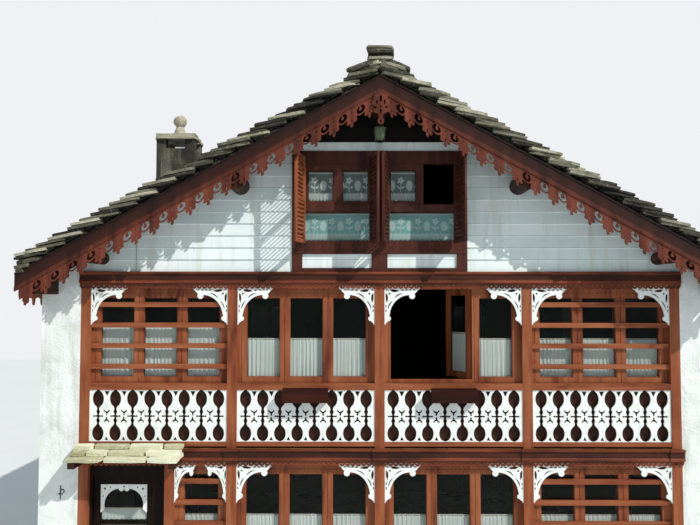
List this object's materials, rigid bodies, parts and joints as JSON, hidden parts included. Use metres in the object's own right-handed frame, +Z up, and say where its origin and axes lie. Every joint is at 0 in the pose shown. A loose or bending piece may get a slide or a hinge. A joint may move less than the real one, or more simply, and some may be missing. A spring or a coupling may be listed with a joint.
{
  "type": "alpine chalet",
  "caption": "Gable-fronted alpine chalet with masonry side walls, a glazed timber gallery with fretwork, and a stone slab roof.",
  "frame": {"origin": "centre of the roof's plan, on the ground", "axes": "+X to the right along the gable front, the front faces -Y, +Z up"},
  "size_m": [10.12, 9.22, 8.3848],
  "materials": {
    "red_brown_paint": "painted wood, satin and weathered",
    "white_fretwork_paint": "white painted wood",
    "white_boards": "white painted boards, matt",
    "white_plaster": "rough lime plaster on masonry",
    "rubble_stone": "rough grey stone",
    "roof_stone": "split stone slabs with lichen",
    "pale_stone": "pale split stone",
    "dark_timber": "dark brown timber",
    "floor_boards": "plain wooden floor",
    "window_glass": "clear window glass",
    "white_curtain": "white cotton",
    "dark_iron": "dark wrought iron",
    "box_timber": "weathered brown timber"
  },
  "bodies": {
    "house": {"stone_plinth": "rubble_stone", "ground_floor": "rubble_stone", "first_floor": "floor_boards", "attic_floor": "floor_boards", "left_wall": "white_plaster", "right_wall": "white_plaster", "back_wall": "white_plaster", "wall_windows": "red_brown_paint", "wall_glass": "window_glass", "gallery_posts": "red_brown_paint", "first_floor_band": "red_brown_paint", "attic_band": "red_brown_paint", "first_balustrades": "white_fretwork_paint", "ground_balustrades": "white_fretwork_paint", "first_parapets": "red_brown_paint", "ground_parapets": "red_brown_paint", "lattices": "red_brown_paint", "first_window_frames": "red_brown_paint", "ground_window_frames": "red_brown_paint", "open_window": "red_brown_paint", "first_glass": "window_glass", "ground_glass": "window_glass", "corner_brackets": "white_fretwork_paint", "gable_boarding": "white_boards", "gable_peak": "dark_timber", "attic_window_frame": "red_brown_paint", "attic_glass": "window_glass", "front_left_bargeboard": "red_brown_paint", "front_right_bargeboard": "red_brown_paint", "back_left_bargeboard": "red_brown_paint", "back_right_bargeboard": "red_brown_paint", "purlins": "dark_timber", "left_rafters": "dark_timber", "right_rafters": "dark_timber", "left_roof_boards": "dark_timber", "right_roof_boards": "dark_timber", "left_roof_slabs": "roof_stone", "right_roof_slabs": "roof_stone", "ridge_stones": "roof_stone", "chimney": "white_plaster", "chimney_cap": "pale_stone", "door_frame": "red_brown_paint", "door_canopy": "pale_stone", "canopy_bearers": "dark_timber", "door_step": "rubble_stone", "lantern": "dark_iron", "flower_boxes": "box_timber", "first_curtains": "white_curtain", "ground_curtains": "white_curtain", "attic_curtains": "white_curtain"},
    "door": {"front_door": "dark_timber", "door_glass": "window_glass", "door_fretwork": "white_fretwork_paint", "door_curtain": "white_curtain", "door_handle": "dark_iron"},
    "shutter_1": {"attic_shutter_1": "red_brown_paint"},
    "shutter_2": {"attic_shutter_2": "red_brown_paint"},
    "shutter_3": {"attic_shutter_3": "red_brown_paint"},
    "shutter_4": {"attic_shutter_4": "red_brown_paint"}
  },
  "joints": [
    {"name": "door_hinge", "type": "hinge", "parent": "house", "child": "door", "pos_m": [-4.097, -3.805, 1.3], "axis": [0, 0, 1], "range_deg": [0, 95]},
    {"name": "shutter_hinge_1", "type": "hinge", "parent": "house", "child": "shutter_1", "pos_m": [-1.09, -4.046, 6.265], "axis": [0, 0, 1], "range_deg": [0, 102]},
    {"name": "shutter_hinge_2", "type": "hinge", "parent": "house", "child": "shutter_2", "pos_m": [-0.115, -4.046, 6.265], "axis": [0, 0, -1], "range_deg": [0, 102]},
    {"name": "shutter_hinge_3", "type": "hinge", "parent": "house", "child": "shutter_3", "pos_m": [0.115, -4.046, 6.265], "axis": [0, 0, 1], "range_deg": [0, 102]},
    {"name": "shutter_hinge_4", "type": "hinge", "parent": "house", "child": "shutter_4", "pos_m": [1.09, -4.046, 6.265], "axis": [0, 0, -1], "range_deg": [0, 102]}
  ]
}
